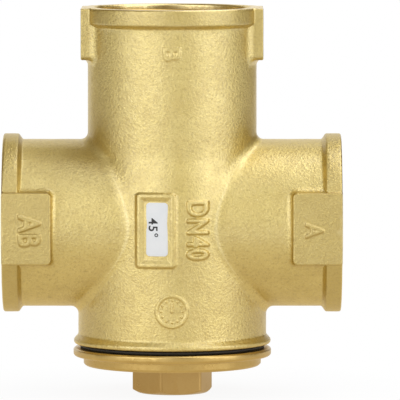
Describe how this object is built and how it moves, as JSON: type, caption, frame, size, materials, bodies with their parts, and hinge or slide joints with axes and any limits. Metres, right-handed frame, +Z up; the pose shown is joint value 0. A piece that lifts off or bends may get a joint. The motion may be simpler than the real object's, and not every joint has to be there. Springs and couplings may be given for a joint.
{
  "type": "thermostatic mixing valve",
  "caption": "Cast brass three-way mixing valve with female pipe threads; a wax element inside lifts a disc to admit cooler water and shuts the bypass port.",
  "frame": {"origin": "centre of the hex boss's end face, the lowest point of the valve, on the axis of the neck", "axes": "+Z up the neck and out of port B; +X out of port A; the front with the raised frame faces -Y"},
  "size_m": [0.104, 0.061, 0.119],
  "materials": {
    "cast_brass": "sand-cast and shot-blasted brass, satin",
    "turned_brass": "fine turned brass",
    "pressed_brass": "pressed brass sheet",
    "copper": "drawn copper cup, slightly dull",
    "spring_steel": "drawn stainless spring wire",
    "pin_steel": "ground stainless steel",
    "black_rubber": "black EPDM rubber",
    "label_film": "pale matt label film"
  },
  "bodies": {
    "casing": {"valve_body": "cast_brass", "setting_label": "label_film", "service_plug": "turned_brass", "plug_ring": "black_rubber", "hold_down_spring": "spring_steel", "insert_flange": "pressed_brass", "flange_gasket": "black_rubber", "piston_bridge": "pressed_brass", "piston": "pin_steel", "spring_stirrup": "pressed_brass", "main_spring": "spring_steel"},
    "element": {"wax_capsule": "copper", "capsule_guide": "turned_brass", "main_disc": "pressed_brass", "disc_seal": "black_rubber", "bypass_stem": "pin_steel", "bypass_clip": "spring_steel", "bypass_spring": "spring_steel"},
    "bypass": {"bypass_disc": "pressed_brass"}
  },
  "joints": [
    {"name": "element_lift", "type": "slide", "parent": "casing", "child": "element", "axis": [0, 0, 1], "range_m": [0, 0.008], "stiffness_N_per_m": 800, "springref_m": -0.004, "deforming": ["main_spring"]},
    {"name": "bypass_give", "type": "slide", "parent": "element", "child": "bypass", "axis": [0, 0, 1], "range_m": [-0.002, 0], "stiffness_N_per_m": 300, "springref_m": 0.002, "deforming": ["bypass_spring"]}
  ]
}
